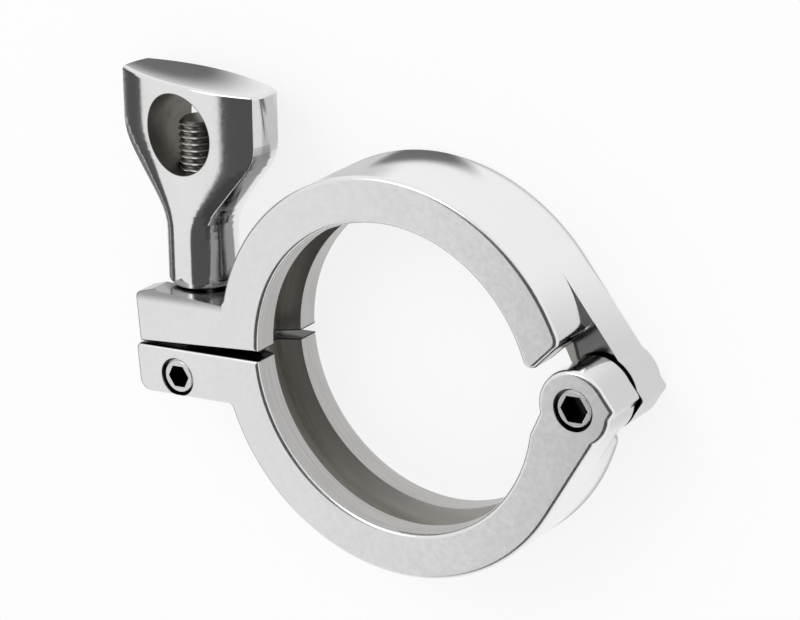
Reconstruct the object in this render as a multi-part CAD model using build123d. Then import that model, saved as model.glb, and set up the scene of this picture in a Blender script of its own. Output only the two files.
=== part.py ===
from build123d import *
import math
import os

# Single-pin sanitary clamp for a 2 inch hygienic tube: two cast half rings hinged together,
# closed by a swing bolt and a wing nut.  It lies on its back face.
# Millimetres.  Z is the ring's axis, Z = 0 is halfway through the ring, and the hinge is on +X.

# Ring
bore_diameter = 57.5
ring_wall = 8.45
width = 18.5
edge_radius = 0.8

# V-groove that draws the two ferrule flanges together
lip_width = 5.0
groove_depth = 4.5
groove_flank_angle = 20.0

# Lap hinge
hinge_offset = 37.4
ear_radius = 7.0
ear_corner_reach = 8.1
ear_corner_rise = 0.6
ear_slant_angle = 43.0
ear_root_angle = 11.5
lap_gap = 1.0
jaw_end_clearance = 2.65
jaw_end_angle = 48.0
jaw_end_outer_radius = 2.4
jaw_end_inner_radius = 1.6

# Split between the jaws, a narrow wedge that opens towards the bore
split_gap = 0.4
split_taper = 2.6

# Bolt lugs
upper_lug_end = 56.0
lower_lug_end = 57.0
lower_lug_depth = 9.6
lug_corner_radius = 1.2
lug_lower_corner_radius = 2.4
lug_root_radius = 0.8
lug_tip_height = 9.7
seat_lip_height = 0.6
seat_pocket_overhang = 0.75

# Swing bolt, standing in the slots of both lugs
pivot_offset = 47.8
pivot_depth = 5.8
bolt_lean = 4.6
bolt_diameter = 8.0
bolt_end_chamfer = 0.9
eye_radius = 5.0
eye_thickness = 7.6
slot_side_clearance = 0.2
slot_end_clearance = 0.6
seat_height = 16.1
bolt_reach_in_nut = 31.4

# Pins with hexagon sockets
hinge_pin_diameter = 5.0
hinge_head_diameter = 7.0
hinge_head_height = 2.8
hinge_tail_height = 1.2
hinge_socket_width = 4.7
pivot_pin_diameter = 4.0
pivot_head_diameter = 6.6
pivot_head_height = 2.8
pivot_socket_width = 4.0
socket_depth = 2.4
head_recess = 0.4
head_chamfer = 0.35
head_clearance = 0.4
running_clearance = 0.05

# Wing nut
nut_height = 39.0
nut_seat_clearance = 0.1
nut_turn = 6.0
neck_radius = 6.6
neck_half_thickness = 6.0
neck_height = 13.0
wing_start_height = 26.5
slant_easing = 3.0
wing_half_length = 16.0
wing_half_thickness = 6.45
wing_end_half_thickness = 3.4
wing_end_bulge = 0.5
nut_base_radius = 1.6
nut_edge_radius = 0.7
cross_hole_diameter = 15.2
cross_hole_height = 29.6
thread_clearance = 0.06

# Values worked out from the sizes above
bore_radius = bore_diameter / 2
outer_radius = bore_radius + ring_wall
front_height = width / 2
hinge = Vector(hinge_offset, 0)
pivot = Vector(-pivot_offset, -pivot_depth)
lap_height = lap_gap / 2
lean = math.radians(bolt_lean)
bolt_direction = Vector(math.sin(lean), math.cos(lean))
seat_centre = pivot + bolt_direction * seat_height
slot_half_width = bolt_diameter / 2 + slot_side_clearance
seat_pocket_radius = front_height + seat_pocket_overhang
lip_run = math.sqrt(seat_pocket_radius ** 2 - front_height ** 2)
far = 4 * outer_radius


def polar(radius, degrees):
    angle = math.radians(degrees)
    return Vector(radius * math.cos(angle), radius * math.sin(angle))


def half_plane(point, degrees):
    """Large face on the side of a line through point that faces the given direction."""
    centre = Vector(*point) + polar(far / 2, degrees)
    return Pos(centre.X, centre.Y) * Rot(0, 0, degrees) * Rectangle(far, 2 * far)


def outline(points):
    return make_face(Polyline([(p.X, p.Y) for p in points], close=True))


def corner_fillet(face, point, radius):
    """Round the face's corner nearest to a point."""
    corner = min(face.vertices(), key=lambda v: (Vector(v.X, v.Y) - Vector(*point)).length)
    return fillet(corner, radius)


def ring_face():
    return Circle(outer_radius) - Circle(bore_radius)


# The hinge end of a jaw is drawn for the lower jaw: its ear is in front and its end is at the
# back.  The upper jaw is the same end turned over about X.

def jaw_end_line():
    """Point and direction of the jaw's short end face, which faces the other jaw's ear."""
    reach = ear_radius + jaw_end_clearance
    return hinge + polar(reach, 180 + jaw_end_angle), jaw_end_angle


def short_ring(split_face):
    """Half ring whose hinge end stops short of the other jaw's ear."""
    point, direction = jaw_end_line()
    face = (ring_face() & split_face) - half_plane(point, direction)
    outer_corner = end_corner(outer_radius)
    face = corner_fillet(face, outer_corner, jaw_end_outer_radius)
    return corner_fillet(face, end_corner(bore_radius), jaw_end_inner_radius)


def end_corner(radius):
    """Where the short end face meets a circle about the ring's axis."""
    point, direction = jaw_end_line()
    distance = point.dot(polar(1, direction))
    return polar(radius, direction - math.degrees(math.acos(distance / radius)))


def ear_face():
    """Knuckle round the hinge pin, with a slanted tip and a straight outer side."""
    corner = hinge + Vector(ear_corner_reach, ear_corner_rise)
    slant = hinge + polar(ear_radius, ear_slant_angle)
    heading = math.degrees(math.atan2(corner.Y, corner.X))
    tangent = polar(outer_radius, heading - math.degrees(math.acos(outer_radius / corner.length)))
    root = polar(bore_radius, -ear_root_angle)
    side = hinge + polar(ear_radius, 180 + ear_root_angle)
    face = outline([slant, corner, tangent, root, side, hinge])
    return face + Pos(hinge.X, hinge.Y) * Circle(ear_radius)


def long_ring(split_face):
    """Half ring that runs on into its own ear."""
    root = polar(bore_radius, -ear_root_angle)
    side = half_plane(root, 90 - ear_root_angle)
    face = (ring_face() & split_face) - (side & half_plane((0, 0), 0))
    return face + ear_face()


def prism(face, bottom, top):
    return Pos(0, 0, bottom) * extrude(face, top - bottom, dir=(0, 0, 1))


def round_outline(jaw):
    """Round the outline of both flat faces, as the castings are."""
    front = jaw.faces().sort_by(Axis.Z)[-1].edges()
    back = jaw.faces().sort_by(Axis.Z)[0].edges()
    return fillet(front + back, edge_radius)


def groove():
    """V-groove round the bore, between the two lips."""
    mouth = front_height - lip_width
    floor_radius = bore_radius + groove_depth
    slope = math.tan(math.radians(groove_flank_angle))
    inner = bore_radius - groove_depth / 2
    wide = mouth + slope * groove_depth / 2
    narrow = mouth - slope * groove_depth
    profile = Polyline(
        (inner, -wide),
        (floor_radius, -narrow),
        (floor_radius, narrow),
        (inner, wide),
        close=True,
    )
    return revolve(Plane.XZ * make_face(profile), Axis.Z)


def slot(inner_end):
    """Bolt slot in a lug, open at the lug's tip, above and below."""
    length = lower_lug_end + slot_end_clearance - inner_end
    block = Box(length, far, 2 * slot_half_width)
    return Pos(-inner_end - length / 2, 0, 0) * block


def hole(centre, diameter, bottom, top):
    return Pos(centre.X, centre.Y, (bottom + top) / 2) * Cylinder(diameter / 2, top - bottom)


def head_hole(centre, head_diameter, head_height):
    """Counterbore in the front face for a pin's head."""
    floor = front_height - head_recess - head_height
    return hole(centre, head_diameter + 2 * head_clearance, floor, width)


def lower_lug():
    end = -lower_lug_end
    face = outline([
        Vector(end, -lower_lug_depth),
        Vector(-bore_radius, -lower_lug_depth),
        Vector(-bore_radius, -split_gap / 2),
        Vector(end, -split_gap / 2),
    ])
    face = corner_fillet(face, (end, -split_gap / 2), lug_corner_radius)
    return corner_fillet(face, (end, -lower_lug_depth), lug_lower_corner_radius)


def casting(split_face, lug):
    """Half clamp with its ear in front, before its groove, slot and holes are cut."""
    lug = lug - Circle((bore_radius + outer_radius) / 2)
    back = root_fillet(short_ring(split_face) + lug)
    front = root_fillet(long_ring(split_face) + lug)
    corner = hinge + Vector(ear_corner_reach, ear_corner_rise)
    front = corner_fillet(front, corner, edge_radius)
    jaw = prism(back, -front_height, lap_height) + prism(front, lap_height, front_height)
    return round_outline(jaw.clean())


def root_fillet(face):
    """Round the corner between a lug's outer side and the ring."""
    corners = [v for v in face.vertices() if v.X < 0 and v.Y < -split_gap]
    near_ring = [v for v in corners if abs(math.hypot(v.X, v.Y) - outer_radius) < split_gap]
    return fillet(near_ring, lug_root_radius)


def lower_jaw():
    jaw = casting(half_plane((0, -split_gap / 2), -90), lower_lug())
    jaw -= groove()
    jaw -= slot(pivot_offset - eye_radius - slot_end_clearance)
    jaw -= hole(hinge, hinge_pin_diameter + 2 * running_clearance, 0, width)
    jaw -= head_hole(hinge, hinge_head_diameter, hinge_head_height)
    jaw -= hole(pivot, pivot_pin_diameter + 2 * running_clearance, -width, width)
    jaw -= head_hole(pivot, pivot_head_diameter, pivot_head_height)
    return jaw


def turned_over(point):
    """The upper casting is drawn turned over about X, with its lug below the split."""
    return Vector(point.X, -point.Y)


def upper_lug():
    """Lug with an inclined split face, a lip round the seat, and a top that falls to its tip."""
    end = -upper_lug_end
    rise = (upper_lug_end - bore_radius) * math.tan(math.radians(split_taper))
    along = Vector(bolt_direction.Y, -bolt_direction.X)
    top = seat_centre + bolt_direction * seat_lip_height
    lip = top - along * lip_run
    left = Vector(end, lug_tip_height)
    right = top + along * (-bore_radius - top.X) / along.X
    corners = [
        Vector(end, split_gap / 2),
        left,
        lip,
        right,
        Vector(-bore_radius, split_gap / 2 + rise),
    ]
    face = outline([turned_over(corner) for corner in corners])
    return corner_fillet(face, turned_over(left), lug_corner_radius)


def seat_pocket():
    """Flat seat for the wing nut: round towards the tip of the lug, and open to the ring."""
    depth = 4 * seat_lip_height
    round_end = Circle(seat_pocket_radius)
    run = Pos(seat_pocket_radius, 0) * Rectangle(2 * seat_pocket_radius, 2 * width)
    pocket = bolt_plane(seat_height) * extrude(round_end + run, depth)
    return pocket - Cylinder(outer_radius, 4 * width)


def upper_jaw():
    tip = Vector(-upper_lug_end, split_gap / 2)
    split_face = half_plane(turned_over(tip), -90 - split_taper)
    jaw = Rot(180, 0, 0) * casting(split_face, upper_lug())
    jaw -= groove()
    jaw -= seat_pocket()
    jaw -= slot(-seat_centre.X - bolt_diameter / 2 - slot_end_clearance)
    jaw -= hole(hinge, hinge_pin_diameter + 2 * running_clearance, -width, 0)
    tail_diameter = hinge_head_diameter + 2 * head_clearance
    tail_floor = head_recess + hinge_tail_height + running_clearance - front_height
    return jaw - hole(hinge, tail_diameter, -width, tail_floor)


def socket(centre, across_flats):
    """Hexagon socket cut down from a pin's front face."""
    prism = extrude(RegularPolygon(across_flats / 2, 6, major_radius=False), socket_depth)
    return Pos(centre.X, centre.Y, front_height - head_recess - socket_depth) * prism


def hinge_pin():
    """Pin with a socket head in front and a riveted head behind."""
    top = front_height - head_recess
    tail = hole(hinge, hinge_head_diameter, -top, -top + hinge_tail_height)
    shank = hole(hinge, hinge_pin_diameter, -top, top)
    head = hole(hinge, hinge_head_diameter, top - hinge_head_height, top)
    head = chamfer(head.edges().sort_by(Axis.Z)[-1], head_chamfer)
    return tail + shank + head - socket(hinge, hinge_socket_width)


def bolt_pivot_pin():
    """Screw that carries the swing bolt's eye across the lower lug."""
    top = front_height - head_recess
    shank = hole(pivot, pivot_pin_diameter, -top, top)
    head = hole(pivot, pivot_head_diameter, top - pivot_head_height, top)
    head = chamfer(head.edges().sort_by(Axis.Z)[-1], head_chamfer)
    return shank + head - socket(pivot, pivot_socket_width)


def bolt_plane(distance):
    """Plane across the bolt at a distance from its pivot."""
    place = pivot + bolt_direction * distance
    return Plane(
        origin=(place.X, place.Y, 0),
        x_dir=(bolt_direction.Y, -bolt_direction.X, 0),
        z_dir=(bolt_direction.X, bolt_direction.Y, 0),
    )


def swing_bolt():
    """Eye bolt: a flat eye about the pivot pin and a shank up through both lugs."""
    length = seat_height + nut_seat_clearance + bolt_reach_in_nut
    shank = Pos(0, 0, length / 2) * Cylinder(bolt_diameter / 2, length)
    shank = chamfer(shank.edges().sort_by(Axis.Z)[-1], bolt_end_chamfer)
    eye = Pos(pivot.X, pivot.Y) * Cylinder(eye_radius, eye_thickness)
    bolt = bolt_plane(0) * shank + eye
    return bolt - hole(pivot, pivot_pin_diameter + 2 * running_clearance, -width, width)


def wing_share(height):
    """How far the nut has widened from neck to wing: a straight slant, eased at both ends."""
    slope = 1 / (wing_start_height - neck_height)
    return (eased_ramp(height - neck_height) - eased_ramp(height - wing_start_height)) * slope


def eased_ramp(rise):
    """Zero below, rise above, and a parabola between them over the easing height."""
    if abs(rise) >= slant_easing:
        return max(rise, 0)
    return (rise + slant_easing) ** 2 / (4 * slant_easing)


def nut_section(height):
    """Outline of the wing nut at a height above its base: round below, lens-shaped above."""
    share = wing_share(height)
    corner = neck_radius * math.sqrt(0.5)
    half_length = corner + (wing_half_length - corner) * share
    half_end = corner + (wing_end_half_thickness - corner) * share
    half_middle = neck_half_thickness + (wing_half_thickness - neck_half_thickness) * share
    bulge = (neck_radius - corner) * (1 - share) + wing_end_bulge * share
    right = half_length + bulge
    edges = [
        ThreePointArc((-half_length, -half_end), (0, -half_middle), (half_length, -half_end)),
        ThreePointArc((half_length, -half_end), (right, 0), (half_length, half_end)),
        ThreePointArc((half_length, half_end), (0, half_middle), (-half_length, half_end)),
        ThreePointArc((-half_length, half_end), (-right, 0), (-half_length, -half_end)),
    ]
    face = make_face(edges)
    return Pos(0, 0, height) * fillet(face.vertices(), nut_edge_radius)


def nut_base_form():
    """Turned form that rounds the edge of the nut's base."""
    base = neck_radius - nut_base_radius
    rounded = JernArc((base, 0), (1, 0), nut_base_radius, 90)
    top = Polyline((neck_radius, nut_base_radius), (far, nut_height), (0, nut_height + 1))
    sides = Polyline((0, nut_height + 1), (0, 0), (base, 0))
    return revolve(Plane.XZ * make_face([rounded, top, sides]), Axis.Z)


def easing_heights(centre):
    return [centre + slant_easing * step / 2 for step in range(-2, 3)]


def wing_nut():
    """Wing nut with a waisted neck, flat wings and a cross hole above its thread."""
    heights = [0] + easing_heights(neck_height) + easing_heights(wing_start_height) + [nut_height]
    body = loft([nut_section(height) for height in heights], ruled=True)
    body = body & nut_base_form()
    body = fillet(body.edges().group_by(Axis.Z)[-1], nut_edge_radius)
    cross = Pos(0, 0, cross_hole_height) * Rot(90, 0, 0) * Cylinder(cross_hole_diameter / 2, far)
    thread_radius = bolt_diameter / 2 + thread_clearance
    thread = Pos(0, 0, cross_hole_height / 2) * Cylinder(thread_radius, cross_hole_height)
    body = body - cross - thread
    return bolt_plane(seat_height + nut_seat_clearance) * Rot(0, 0, -nut_turn) * body


def write_parts():
    os.makedirs("parts", exist_ok=True)
    makers = [lower_jaw, upper_jaw, hinge_pin, bolt_pivot_pin, swing_bolt, wing_nut]
    for maker in makers:
        export_step(maker(), f"parts/{maker.__name__}.step")


write_parts()
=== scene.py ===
import math

import bmesh
import bpy
from mathutils import Matrix, Vector


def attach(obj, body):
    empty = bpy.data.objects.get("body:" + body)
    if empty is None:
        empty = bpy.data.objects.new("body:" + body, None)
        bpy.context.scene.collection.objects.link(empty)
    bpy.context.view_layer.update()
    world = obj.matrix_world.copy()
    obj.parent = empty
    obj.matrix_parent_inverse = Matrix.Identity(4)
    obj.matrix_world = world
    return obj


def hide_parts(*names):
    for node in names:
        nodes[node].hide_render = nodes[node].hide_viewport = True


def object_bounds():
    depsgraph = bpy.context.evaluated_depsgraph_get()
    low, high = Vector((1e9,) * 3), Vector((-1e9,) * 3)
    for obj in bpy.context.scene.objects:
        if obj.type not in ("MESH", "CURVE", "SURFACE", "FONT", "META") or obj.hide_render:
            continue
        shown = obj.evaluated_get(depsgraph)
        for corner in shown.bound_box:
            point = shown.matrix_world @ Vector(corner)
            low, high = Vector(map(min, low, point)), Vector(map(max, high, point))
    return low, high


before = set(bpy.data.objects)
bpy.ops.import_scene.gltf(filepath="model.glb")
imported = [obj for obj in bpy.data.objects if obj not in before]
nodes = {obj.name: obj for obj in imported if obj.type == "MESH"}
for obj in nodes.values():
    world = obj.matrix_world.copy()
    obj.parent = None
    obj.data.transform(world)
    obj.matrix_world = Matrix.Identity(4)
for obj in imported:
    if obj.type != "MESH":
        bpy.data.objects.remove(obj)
cad_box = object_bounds()
cad_low, cad_high = cad_box
middle_height = (cad_low[2] + cad_high[2]) / 2
MM = 0.001

# Sizes repeated from the part's source, in metres, with its frame: Z along the ring's axis,
# X towards the hinge and Y towards the wing nut
RING_AXIS = (0.0, 0.0, 1.0)
RING_CENTRE = (0.0, 0.0, 0.0)
HALF_WIDTH = 9.25 * MM
BORE_RADIUS = 28.75 * MM
GROOVE_HALF_MOUTH = 4.25 * MM
GROOVE_FLOOR_RADIUS = 33.25 * MM
OUTER_RADIUS = 37.2 * MM
HINGE = (37.4 * MM, 0.0, 0.0)
PIVOT = (-47.8 * MM, -5.8 * MM, 0.0)
HINGE_COUNTERBORE_RADIUS = 3.9 * MM
PIVOT_COUNTERBORE_RADIUS = 3.7 * MM
HEAD_TOP = 8.85 * MM
JAW_END_ANGLE = math.radians(48.0)
JAW_END_DISTANCE = 15.37 * MM
LOWER_LAP = 0.5 * MM
UPPER_LAP = -0.5 * MM
UPPER_LUG_END = 56.0 * MM
SPLIT_SLOPE = 0.0454
SLOT_HALF_WIDTH = 4.2 * MM
SEAT_HEIGHT = 16.1 * MM
SEAT_POCKET_RADIUS = 10.0 * MM
BOLT_LEAN = math.radians(4.6)
BOLT_DIRECTION = Vector((math.sin(BOLT_LEAN), math.cos(BOLT_LEAN), 0))
BOLT_LENGTH = 47.6 * MM
BOLT_RADIUS = 4.0 * MM
BOLT_END_CHAMFER = 0.9 * MM
EYE_RADIUS = 5.0 * MM
EYE_HALF_THICKNESS = 3.8 * MM
EYE_HOLE_RADIUS = 2.05 * MM
NUT_TURN = math.radians(6.0)
NUT_THREAD_RADIUS = 4.06 * MM
NECK_RADIUS = 6.6 * MM
CROSS_HOLE_RADIUS = 7.6 * MM
CROSS_HOLE_PLACE = 45.8 * MM

# Camera: where it stands, in degrees, for someone who faces the clamp's front with the wing
# nut up, how far off, and the point in the clamp's middle plane that it looks at
VIEW_TURN = 35.4
VIEW_RISE = 18.4
VIEW_ROLL = -4.5
VIEW_DISTANCE = 556 * MM
VIEW_TARGET = (-3.1 * MM, 9.9 * MM)
LENS = 141.5
SENSOR = 36.0

# Greys, each as level and warmth.  TONES are a darker and a lighter one that noise mixes
OUTSIDE_TONES = ((0.83, 0.0), (0.90, 0.0))
FACE_TONES = ((0.76, 0.0), (0.85, 0.0))
LIP_TONES = ((0.36, 0.02), (0.62, 0.01))
# The groove's greys are painted shade in the hollow, and the next ones painted light for its lower
# part
GROOVE_TONES = ((0.18, 0.05), (0.50, 0.04))
GROOVE_PAINTED_LIGHT_TONES = ((0.50, 0.03), (0.80, 0.03))
GROOVE_MOUTH_TONE = (0.38, 0.03)
# Near-black painted shade at the split between the jaws and in their recesses
PAINTED_SHADE_TONE = (0.035, 0.03)
NUT_TONES = ((0.75, 0.005), (0.85, 0.0))
CROSS_HOLE_TONES = ((0.09, 0.07), (0.22, 0.07))
ROOT_TONES = ((0.16, 0.06), (0.34, 0.05))
CREST_TONES = ((0.55, 0.02), (0.76, 0.01))
PIN_TONES = ((0.62, 0.01), (0.78, 0.0))
PIN_PAINTED_SHADE_TONE = (0.02, 0.02)
PAPER_TONES = ((0.86, 0.0), (0.90, 0.0))

# Painted zones: edge softness, how far one reaches past the surface it covers, where the
# hinge's, the split's and the slot's zones of painted shade end, and between which heights the
# groove's painted light fades
SHARP = 0.08 * MM
MARGIN = 0.1 * MM
HINGE_ZONE_START = 20 * MM
SPLIT_ZONE_END = -20 * MM
SLOT_ZONE_END = -41 * MM
GROOVE_LIGHT_FULL = -34 * MM
GROOVE_LIGHT_GONE = -8 * MM

# Radii on the pins' heads: just inside the head's side and just past the socket's corners
HINGE_HEAD_SIDE = 3.3 * MM
HINGE_SOCKET_EDGE = 2.8 * MM
PIVOT_HEAD_SIDE = 3.1 * MM
PIVOT_SOCKET_EDGE = 2.4 * MM

# Thread of the swing bolt
THREAD_PITCH = 1.25 * MM
THREAD_DEPTH = 0.62 * MM
THREAD_START = 15.0 * MM
THREAD_RUN_IN = 1.5 * THREAD_PITCH
CREST_SHARE = 0.08
FLANK_SHARE = 0.70
SHANK_START = 2.6 * MM
EYE_EDGE = 0.35 * MM
AROUND = 72
STEPS_PER_PITCH = 10
EYE_SEGMENTS = 96

# Stage: how bright the floor is seen and mirrored, and dark patches on it that only
# reflections see, painted shade for the part to mirror, each as place and reach in X and Y in mm,
# depth and softness
FLOOR_REACH = 2.0
FLOOR_SEEN = 0.80
FLOOR_SHINE = 0.90
FLOOR_PATCHES = [
    (-60, 51.5, 18, 4.2, 0.9, 0.4),
    (-3, 38.2, 12, 1.9, 0.9, 0.4),
    (-215, -10, 118, 140, 0.88, 0.1),
    (-18, 37, 10, 9, 0.35, 0.4),
    (-51, 11, 8, 1.6, 0.7, 0.3),
    (56, 2, 22, 24, 0.28, 0.5),
]
CONTACT_RADIUS = 37.4 * MM
CONTACT_DEPTH = 0.45

# Dark cards that only reflections see: turn and rise in degrees as for the camera, distance,
# width and height in metres, and grey level
FLAGS = {
    "flag_camera_side": (14, -8, 0.62, 1.08, 1.28, 0.09),
    "flag_left": (-95, -10, 0.50, 0.34, 0.60, 0.09),
    "flag_below": (10, -48, 0.60, 0.80, 0.28, 0.06),
}
WORLD_LIGHT = 0.92
KEY_PLACE = (-0.25, 0.55, 0.65)
KEY_SIZE = 0.5
KEY_POWER = 1.5


def direction_to(turn, rise):
    """Direction at a turn to the right and a rise from the clamp's front, in degrees."""
    a, b = math.radians(turn), math.radians(rise)
    return Vector((math.sin(a) * math.cos(b), math.sin(b), math.cos(a) * math.cos(b)))


def level_across(turn):
    """Direction to the right of someone who looks at the clamp from a turn."""
    a = math.radians(turn)
    return Vector((math.cos(a), 0, -math.sin(a)))


def axes(across, up, back):
    return Matrix((across, up, back)).transposed().to_4x4()


def place_object(name, data):
    item = bpy.data.objects.new(name, data)
    bpy.context.collection.objects.link(item)
    return item


def set_camera():
    roll = math.radians(VIEW_ROLL)
    back = direction_to(VIEW_TURN, VIEW_RISE)
    right = level_across(VIEW_TURN)
    rolled_right = math.cos(roll) * right + math.sin(roll) * back.cross(right)
    target = Vector((VIEW_TARGET[0], VIEW_TARGET[1], middle_height))
    stand = Matrix.Translation(target + back * VIEW_DISTANCE)
    camera = place_object("camera", bpy.data.cameras.new("camera"))
    camera.data.lens = LENS
    camera.data.sensor_width = SENSOR
    camera.data.clip_start = 0.01
    camera.matrix_world = stand @ axes(rolled_right, back.cross(rolled_right), back)
    bpy.context.scene.camera = camera


class Shader:
    """One material's node tree.  A value is a node's output, a number, a vector or a colour."""

    def __init__(self, name, metallic=0.0):
        self.material = bpy.data.materials.new(name)
        self.material.use_nodes = True
        self.tree = self.material.node_tree
        self.shader = self.tree.nodes["Principled BSDF"]
        self.shader.inputs["Metallic"].default_value = metallic
        self.place = self.node("ShaderNodeTexCoord").outputs["Object"]
        split = self.node("ShaderNodeSeparateXYZ")
        self.put(split.inputs[0], self.place)
        self.x, self.y, self.z = split.outputs

    def node(self, kind):
        return self.tree.nodes.new(kind)

    def put(self, socket, value):
        if isinstance(value, bpy.types.NodeSocket):
            self.tree.links.new(value, socket)
        else:
            socket.default_value = value

    def set(self, name, value):
        """Connect a value to one of the surface's sockets."""
        self.put(self.shader.inputs[name], value)

    def math(self, operation, *values):
        node = self.node("ShaderNodeMath")
        node.operation = operation
        for socket, value in zip(node.inputs, values):
            self.put(socket, value)
        return node.outputs[0]

    def vector(self, operation, *values):
        node = self.node("ShaderNodeVectorMath")
        node.operation = operation
        for socket, value in zip(node.inputs, values):
            self.put(socket, value)
        return node.outputs["Value" if operation in ("LENGTH", "DOT_PRODUCT") else "Vector"]

    def plus(self, a, b):
        return self.math("ADD", a, b)

    def times(self, a, b):
        return self.math("MULTIPLY", a, b)

    def gap(self, a, b):
        """How far two numbers are apart."""
        return self.math("ABSOLUTE", self.math("SUBTRACT", a, b))

    def ramp(self, value, low, high, from_value=0.0, to_value=1.0):
        """Smooth step from one number to another."""
        node = self.node("ShaderNodeMapRange")
        node.interpolation_type = "SMOOTHSTEP"
        numbers = {"Value": value, "From Min": low, "From Max": high,
                   "To Min": from_value, "To Max": to_value}
        for name, number in numbers.items():
            self.put(node.inputs[name], number)
        return node.outputs["Result"]

    def below(self, value, limit, soft=SHARP):
        return self.ramp(value, limit - soft, limit + soft, 1.0, 0.0)

    def above(self, value, limit, soft=SHARP):
        return self.ramp(value, limit - soft, limit + soft)

    def varied(self, noise, low, high):
        """Number that follows a noise, whose values lie mostly from 0.3 to 0.7."""
        return self.ramp(noise, 0.3, 0.7, low, high)

    def both(self, *masks):
        result = masks[0]
        for mask in masks[1:]:
            result = self.times(result, mask)
        return result

    def either(self, *masks):
        result = masks[0]
        for mask in masks[1:]:
            result = self.math("MAXIMUM", result, mask)
        return result

    def noise(self, scale, detail=3.0, stretch=(1, 1, 1)):
        node = self.node("ShaderNodeTexNoise")
        node.inputs["Scale"].default_value = scale
        node.inputs["Detail"].default_value = detail
        node.inputs["Roughness"].default_value = 0.6
        self.put(node.inputs["Vector"], self.vector("MULTIPLY", self.place, stretch))
        return node.outputs["Fac"]

    def distance(self, point, direction=RING_AXIS):
        """Distance from a line through a point."""
        offset = self.vector("SUBTRACT", self.place, point)
        return self.vector("LENGTH", self.vector("CROSS_PRODUCT", offset, direction))

    def along(self, direction, point=RING_CENTRE):
        """How far along a direction from a point."""
        offset = self.vector("SUBTRACT", self.place, point)
        return self.vector("DOT_PRODUCT", offset, direction)

    def blend(self, mask, a, b):
        """Mix two colours."""
        node = self.node("ShaderNodeMix")
        node.data_type = "RGBA"
        self.put(node.inputs[0], mask)
        self.put(node.inputs[6], a)
        self.put(node.inputs[7], b)
        return node.outputs[2]

    def tones(self, mask, pair):
        """Mix a darker and a lighter grey."""
        return self.blend(mask, grey(*pair[0]), grey(*pair[1]))

    def mix(self, mask, a, b):
        """Mix two numbers."""
        node = self.node("ShaderNodeMix")
        self.put(node.inputs[0], mask)
        self.put(node.inputs[2], a)
        self.put(node.inputs[3], b)
        return node.outputs[0]

    def mix_surfaces(self, share, a, b):
        """Show surface b by a share, and surface a by the rest."""
        node = self.node("ShaderNodeMixShader")
        self.put(node.inputs[0], share)
        self.put(node.inputs[1], a)
        self.put(node.inputs[2], b)
        self.put(self.tree.nodes["Material Output"].inputs["Surface"], node.outputs["Shader"])

    def bump(self, height, strength, distance):
        node = self.node("ShaderNodeBump")
        node.inputs["Strength"].default_value = strength
        node.inputs["Distance"].default_value = distance
        self.put(node.inputs["Height"], height)
        self.set("Normal", node.outputs["Normal"])


def grey(level, warmth=0.0):
    return (level * (1 + warmth), level, level * (1 - 1.6 * warmth), 1.0)


def painted_shade_side(s, centre):
    """Lower right side of a pin's counterbore, where shade is painted."""
    return s.above(s.along((0.8, -0.6, 0), centre), -0.8 * MM, 1.4 * MM)


def hinge_notch(s, side, lap):
    """Inside of the lap hinge: past the jaw's short end and above its lap face, where shade is
    painted.
    """
    outward = (math.cos(JAW_END_ANGLE), -side * math.sin(JAW_END_ANGLE), 0)
    past_end = s.above(s.along(outward), JAW_END_DISTANCE - 0.2 * MM)
    above_lap = s.above(s.times(s.z, side), side * lap - 0.12 * MM)
    return s.both(past_end, above_lap, s.above(s.x, HINGE_ZONE_START))


def split_face(s, side):
    """Face towards the other jaw at the bolt's side, where shade is painted.  The upper jaw's face
    is inclined.
    """
    slope = SPLIT_SLOPE if side > 0 else 0.0
    line = s.times(s.plus(s.x, UPPER_LUG_END), slope)
    return s.both(s.below(s.gap(s.y, line), 0.42 * MM), s.below(s.x, SPLIT_ZONE_END))


# Slot for the swing bolt in the lugs, where shade is painted
def bolt_slot(s):
    height = s.math("ABSOLUTE", s.z)
    return s.both(s.below(height, SLOT_HALF_WIDTH + 0.05 * MM), s.below(s.x, SLOT_ZONE_END))


def counterbores(s):
    """Walls and floors round the pins' heads, painted as shade on their lower right side."""
    hinge = s.both(s.below(s.distance(HINGE), HINGE_COUNTERBORE_RADIUS + MARGIN),
                   painted_shade_side(s, HINGE))
    pivot = s.both(s.below(s.distance(PIVOT), PIVOT_COUNTERBORE_RADIUS + MARGIN),
                   painted_shade_side(s, PIVOT))
    sunk = s.below(s.math("ABSOLUTE", s.z), HALF_WIDTH - 0.25 * MM)
    return s.both(s.either(hinge, pivot), sunk)


def nut_seat(s):
    """Seat under the wing nut, painted as shade, darkest at the nut's base."""
    off_axis = s.distance(PIVOT, BOLT_DIRECTION)
    on_seat = s.below(s.gap(s.along(BOLT_DIRECTION, PIVOT), SEAT_HEIGHT), 0.12 * MM)
    painted_shade = s.ramp(off_axis, NECK_RADIUS, SEAT_POCKET_RADIUS - MARGIN, 1.0, 0.45)
    in_pocket = s.below(off_axis, SEAT_POCKET_RADIUS + MARGIN)
    between_faces = s.below(s.math("ABSOLUTE", s.z), HALF_WIDTH - 0.85 * MM, 0.3 * MM)
    return s.both(painted_shade, on_seat, s.above(s.y, 5 * MM), in_pocket, between_faces)


def beside_nut(s):
    """Painted shade on the ring's outside next to the nut."""
    return s.both(
        s.above(s.distance(RING_CENTRE), OUTER_RADIUS - 0.2 * MM),
        s.above(s.y, 9 * MM, 1 * MM),
        s.below(s.x, -17 * MM, 3 * MM),
        s.below(s.distance(PIVOT, BOLT_DIRECTION), 26 * MM, 4 * MM),
    )


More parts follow.
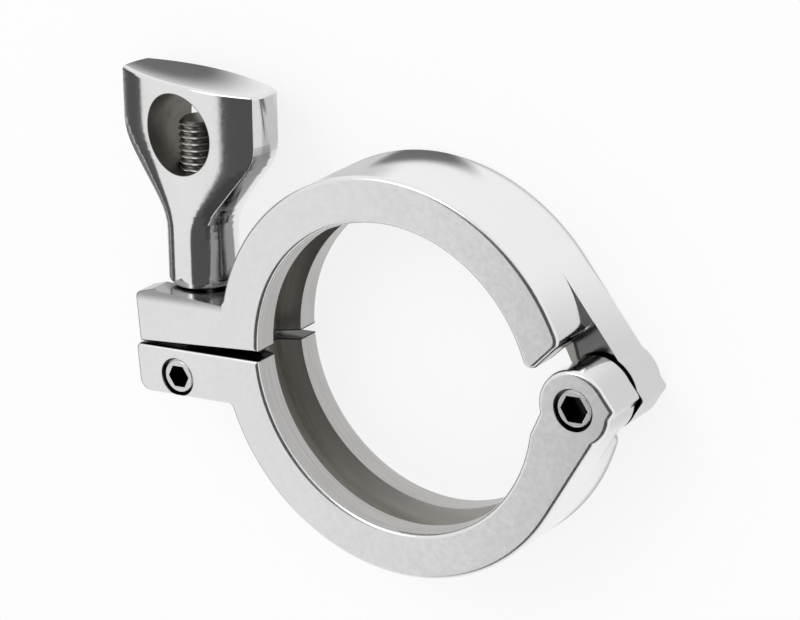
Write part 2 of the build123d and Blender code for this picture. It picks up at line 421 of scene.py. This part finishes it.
def jaw_material(name, side, lap):
    """Cast jaw: satin faces, brighter polished outside, a brown-grey groove of painted shade that
    is lighter low down as painted light, and near-black painted shade at the split and in recesses.

    side is 1 for the upper jaw and -1 for the lower one, and lap is the height of its lap face.
    """
    s = Shader(name, metallic=1.0)
    height = s.math("ABSOLUTE", s.z)
    radius = s.distance(RING_CENTRE)
    cloud = s.noise(60.0, 4.0)
    mottle = s.noise(900.0)
    streaks = s.noise(1.0, stretch=(70.0, 70.0, 2600.0))

    face = s.above(height, HALF_WIDTH - 0.35 * MM, 0.3 * MM)
    lip = s.both(s.below(radius, BORE_RADIUS + 0.15 * MM),
                 s.below(height, HALF_WIDTH - 0.6 * MM, 0.2 * MM))
    groove = s.both(s.below(radius, GROOVE_FLOOR_RADIUS + 0.65 * MM),
                    s.below(height, GROOVE_HALF_MOUTH))
    deep = s.ramp(radius, BORE_RADIUS, GROOVE_FLOOR_RADIUS - 0.25 * MM)
    # Painted shade: at the split, in the hinge's notch, the bolt's slot and the counterbores, on
    # the seat under the nut and on the outside beside it
    painted_shade = s.either(
        s.times(hinge_notch(s, side, lap), 0.85),
        split_face(s, side),
        s.times(bolt_slot(s), 0.8),
        counterbores(s),
        s.times(nut_seat(s), 0.8),
        s.times(beside_nut(s), 0.6),
    )

    cast = s.tones(s.mix(0.2, cloud, mottle), FACE_TONES)
    tone = s.blend(face, s.tones(cloud, OUTSIDE_TONES), cast)
    tone = s.blend(lip, tone, s.tones(streaks, LIP_TONES))
    # Painted light: the groove is lighter low down, where light falls into it from above
    low_painted_light = s.ramp(s.y, GROOVE_LIGHT_FULL, GROOVE_LIGHT_GONE, 0.55, 0.0)
    groove_shade_and_light = s.blend(low_painted_light, s.tones(streaks, GROOVE_TONES), s.tones(streaks, GROOVE_PAINTED_LIGHT_TONES))
    tone = s.blend(groove, tone, s.blend(deep, grey(*GROOVE_MOUTH_TONE), groove_shade_and_light))
    s.set("Base Color", s.blend(painted_shade, tone, grey(*PAINTED_SHADE_TONE)))

    polished = s.varied(cloud, 0.13, 0.20)
    satin = s.varied(mottle, 0.20, 0.27)
    s.set("Roughness", s.mix(s.either(groove, lip), s.mix(face, polished, satin), 0.38))
    grain = s.plus(s.times(mottle, s.mix(face, 0.3, 1.0)),
                   s.times(streaks, s.mix(groove, 0.05, 1.0)))
    s.bump(grain, 0.16, 0.03 * MM)
    return s.material


def nut_material():
    """Polished cast wing nut, whose cross hole and bolt hole are rough and painted dark as shade.
    """
    s = Shader("polished_nut", metallic=1.0)
    cloud = s.noise(120.0)
    fine = s.noise(1500.0)
    centre = Vector(PIVOT) + BOLT_DIRECTION * CROSS_HOLE_PLACE
    cross_axis = Matrix.Rotation(-NUT_TURN, 3, BOLT_DIRECTION) @ Vector(RING_AXIS)
    cross_hole = s.below(s.distance(centre, cross_axis), CROSS_HOLE_RADIUS + 0.12 * MM)
    off_axis = s.distance(PIVOT, BOLT_DIRECTION)
    bolt_hole = s.both(s.below(off_axis, NUT_THREAD_RADIUS + 0.2 * MM), s.below(s.y, 36 * MM))
    inside = s.either(cross_hole, bolt_hole)
    # Cross hole and bolt hole: rough, and painted dark brown as shade
    rough_and_shaded = s.tones(s.noise(400.0, 4.0), CROSS_HOLE_TONES)
    s.set("Base Color", s.blend(inside, s.tones(cloud, NUT_TONES), rough_and_shaded))
    s.set("Roughness", s.mix(inside, s.varied(fine, 0.07, 0.12), 0.42))
    s.bump(s.plus(fine, cloud), 0.12, 0.03 * MM)
    return s.material


def thread_material():
    """Rolled thread: bright crests over flanks and roots painted darker as shade."""
    s = Shader("thread_steel", metallic=1.0)
    radius = s.distance(PIVOT, BOLT_DIRECTION)
    crest = s.ramp(radius, BOLT_RADIUS - 0.45 * MM, BOLT_RADIUS - 0.05 * MM)
    stain = s.noise(700.0, 4.0)
    # Flanks and roots painted darker as shade
    s.set("Base Color", s.blend(crest, s.tones(stain, ROOT_TONES), s.tones(stain, CREST_TONES)))
    s.set("Roughness", s.varied(stain, 0.26, 0.40))
    s.bump(stain, 0.2, 0.03 * MM)
    return s.material


def pin_material(name, centre, head_side, socket_edge):
    """Turned pin head with fine rings round its axis, and black painted shade in its hexagon socket
    and on its side's lower right.
    """
    s = Shader(name, metallic=1.0)
    radius = s.distance(centre)
    turned = s.node("ShaderNodeTexWave")
    turned.wave_type = "RINGS"
    turned.rings_direction = "Z"
    turned.inputs["Scale"].default_value = 900.0
    turned.inputs["Distortion"].default_value = 1.5
    s.put(turned.inputs["Vector"], s.vector("SUBTRACT", s.place, centre))
    rings = turned.outputs["Fac"]
    # Painted shade, black: in the hexagon socket, and in the gap at the head's lower right side
    socket = s.both(s.below(radius, socket_edge), s.below(s.z, HEAD_TOP - 0.25 * MM, 0.2 * MM))
    side = s.both(s.above(radius, head_side, 0.1 * MM), s.below(s.z, HEAD_TOP - 0.2 * MM, 0.1 * MM),
                  painted_shade_side(s, centre))
    s.set("Base Color", s.blend(s.either(socket, side), s.tones(rings, PIN_TONES),
                                grey(*PIN_PAINTED_SHADE_TONE)))
    s.set("Roughness", s.varied(s.noise(1500.0), 0.2, 0.3))
    s.bump(rings, 0.15, 0.02 * MM)
    return s.material


def dress(item, material):
    item.data.materials.clear()
    item.data.materials.append(material)


def thread_radius(distance, turn):
    """Surface radius of the shank: plain below, threaded above, tapered at its end."""
    phase = (distance / THREAD_PITCH - turn) % 1.0
    from_crest = 1 - abs(phase - 0.5) * 2
    depth = min(1.0, max(0.0, (from_crest - CREST_SHARE) / FLANK_SHARE))
    run_in = min(1.0, max(0.0, (distance - THREAD_START) / THREAD_RUN_IN))
    taper = max(0.0, distance - (BOLT_LENGTH - BOLT_END_CHAMFER))
    return min(BOLT_RADIUS - THREAD_DEPTH * depth * run_in, BOLT_RADIUS - taper)


def ring_point(radius, angle, height):
    return (radius * math.cos(angle), radius * math.sin(angle), height)


def bolt_shank():
    """Closed tube with a helical thread, along +Z from the bolt's pivot."""
    step = THREAD_PITCH / STEPS_PER_PITCH
    count = int((BOLT_LENGTH - THREAD_START) / step)
    levels = [SHANK_START, THREAD_START - THREAD_PITCH]
    levels += [THREAD_START + step * i for i in range(count)] + [BOLT_LENGTH]
    shape = bmesh.new()
    rings = []
    for level in levels:
        turns = [i / AROUND for i in range(AROUND)]
        points = [ring_point(thread_radius(level, t), 2 * math.pi * t, level) for t in turns]
        rings.append([shape.verts.new(point) for point in points])
    for low, high in zip(rings, rings[1:]):
        for i in range(AROUND):
            j = (i + 1) % AROUND
            shape.faces.new((low[i], low[j], high[j], high[i]))
    shape.faces.new(list(reversed(rings[0])))
    shape.faces.new(rings[-1])
    return shape


def bolt_eye():
    """Closed ring turned about Z."""
    half, edge = EYE_HALF_THICKNESS, EYE_EDGE
    profile = [(EYE_HOLE_RADIUS, -half), (EYE_RADIUS - edge, -half), (EYE_RADIUS, -half + edge),
               (EYE_RADIUS, half - edge), (EYE_RADIUS - edge, half), (EYE_HOLE_RADIUS, half)]
    shape = bmesh.new()
    rings = []
    for i in range(EYE_SEGMENTS):
        angle = 2 * math.pi * i / EYE_SEGMENTS
        rings.append([shape.verts.new(ring_point(r, angle, h)) for r, h in profile])
    for i in range(EYE_SEGMENTS):
        this, other = rings[i], rings[(i + 1) % EYE_SEGMENTS]
        for k in range(len(profile)):
            m = (k + 1) % len(profile)
            shape.faces.new((this[k], other[k], other[m], this[m]))
    bmesh.ops.recalc_face_normals(shape, faces=shape.faces)
    return shape


def to_object(shape, name, matrix):
    mesh = bpy.data.meshes.new(name)
    shape.transform(matrix)
    shape.to_mesh(mesh)
    shape.free()
    return place_object(name, mesh)


def threaded_bolt():
    """Swing bolt with a real thread, joined from its shank and its eye into one closed mesh."""
    across = Vector((BOLT_DIRECTION.y, -BOLT_DIRECTION.x, 0))
    upright = axes(across, BOLT_DIRECTION.cross(across), BOLT_DIRECTION)
    shank = to_object(bolt_shank(), "threaded_bolt", Matrix.Translation(PIVOT) @ upright)
    eye = to_object(bolt_eye(), "bolt_eye", Matrix.Translation(PIVOT))
    union = shank.modifiers.new("eye", "BOOLEAN")
    union.operation = "UNION"
    union.solver = "EXACT"
    union.object = eye
    graph = bpy.context.evaluated_depsgraph_get()
    joined = bpy.data.meshes.new_from_object(shank.evaluated_get(graph))
    shank.modifiers.clear()
    shank.data = joined
    bpy.data.objects.remove(eye)
    return shank


def floor_material():
    """White paper: it keeps a faint shadow for the camera and is bright in reflections, but for
    patches of painted shade that only reflections see.
    """
    s = Shader("floor_paper")
    s.shader.inputs["Roughness"].default_value = 0.9
    s.set("Base Color", s.tones(s.noise(400.0, 2.0), PAPER_TONES))
    path = s.node("ShaderNodeLightPath").outputs
    mirrored = s.either(path["Is Glossy Ray"], path["Is Transmission Ray"])
    patches = []
    for x, y, reach_x, reach_y, depth, soft in FLOOR_PATCHES:
        offset = s.vector("SUBTRACT", s.place, (x * MM, y * MM, 0))
        scaled = s.vector("MULTIPLY", offset, (1 / (reach_x * MM), 1 / (reach_y * MM), 0))
        patches.append(s.ramp(s.vector("LENGTH", scaled), 1 - soft, 1 + soft, depth, 0.0))
    # Painted contact shadow round the ring, seen only in reflections
    off_ring = s.gap(s.distance(RING_CENTRE), CONTACT_RADIUS)
    patches.append(s.ramp(off_ring, 0.2 * MM, 0.9 * MM, CONTACT_DEPTH, 0.0))
    dark = s.both(mirrored, s.either(*patches))
    light = s.node("ShaderNodeEmission")
    s.put(light.inputs["Color"], s.blend(dark, grey(1.0), grey(0.0)))
    share = s.plus(s.times(path["Is Camera Ray"], FLOOR_SEEN), s.times(mirrored, FLOOR_SHINE))
    s.mix_surfaces(share, s.shader.outputs["BSDF"], light.outputs["Emission"])
    return s.material


def card_material(name, level):
    """Card of one grey with soft edges."""
    s = Shader(name)
    light = s.node("ShaderNodeEmission")
    light.inputs["Color"].default_value = grey(level)
    clear = s.node("ShaderNodeBsdfTransparent")
    inner = [s.ramp(s.math("ABSOLUTE", side), 0.45, 0.5, 1.0, 0.0) for side in (s.x, s.y)]
    s.mix_surfaces(s.both(*inner), clear.outputs["BSDF"], light.outputs["Emission"])
    return s.material


def staged_square(name, reach, height, material):
    mesh = bpy.data.meshes.new(name)
    corners = [(-reach, -reach, height), (reach, -reach, height),
               (reach, reach, height), (-reach, reach, height)]
    mesh.from_pydata(corners, [], [(0, 1, 2, 3)])
    mesh.materials.append(material)
    item = place_object(name, mesh)
    return item


def card(name, turn, rise, distance, width, height, level):
    """Card that only reflections see, facing the clamp from a turn and a rise."""
    outward = direction_to(turn, rise)
    across = level_across(turn)
    facing = axes(across, outward.cross(across), outward)
    scale = Matrix.Diagonal((width, height, 1, 1))
    item = staged_square(name, 0.5, 0.0, card_material(name, level))
    item.matrix_world = Matrix.Translation(outward * distance) @ facing @ scale
    item.visible_camera = False
    item.visible_diffuse = False
    item.visible_shadow = False


def set_world():
    """Even white light all round, seen by the camera as plain white."""
    world = bpy.data.worlds.new("studio")
    bpy.context.scene.world = world
    world.use_nodes = True
    tree = world.node_tree
    background = tree.nodes["Background"]
    background.inputs["Color"].default_value = (1, 1, 1, 1)
    path = tree.nodes.new("ShaderNodeLightPath").outputs
    seen = tree.nodes.new("ShaderNodeMapRange")
    seen.inputs["To Min"].default_value = WORLD_LIGHT
    seen.inputs["To Max"].default_value = 1.0
    tree.links.new(path["Is Camera Ray"], seen.inputs["Value"])
    tree.links.new(seen.outputs["Result"], background.inputs["Strength"])


def set_key_light():
    data = bpy.data.lights.new("key", "AREA")
    data.size = KEY_SIZE
    data.energy = KEY_POWER
    item = place_object("key", data)
    item.location = KEY_PLACE
    direction = Vector((0, 0, middle_height)) - Vector(KEY_PLACE)
    item.rotation_euler = direction.to_track_quat("-Z", "Y").to_euler()


set_camera()

dress(nodes["lower_jaw"], jaw_material("lower_jaw_steel", -1, LOWER_LAP))
dress(nodes["upper_jaw"], jaw_material("upper_jaw_steel", 1, UPPER_LAP))
dress(nodes["hinge_pin"],
      pin_material("hinge_pin_steel", HINGE, HINGE_HEAD_SIDE, HINGE_SOCKET_EDGE))
dress(nodes["bolt_pivot_pin"],
      pin_material("pivot_pin_steel", PIVOT, PIVOT_HEAD_SIDE, PIVOT_SOCKET_EDGE))
dress(nodes["wing_nut"], nut_material())

bolt = threaded_bolt()
dress(bolt, thread_material())
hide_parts("swing_bolt")
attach(bolt, "swing_bolt")

staged_square("floor", FLOOR_REACH, cad_low[2], floor_material())
for flag, numbers in FLAGS.items():
    card(flag, *numbers)
set_world()
set_key_light()
bpy.context.scene.view_settings.view_transform = "Standard"
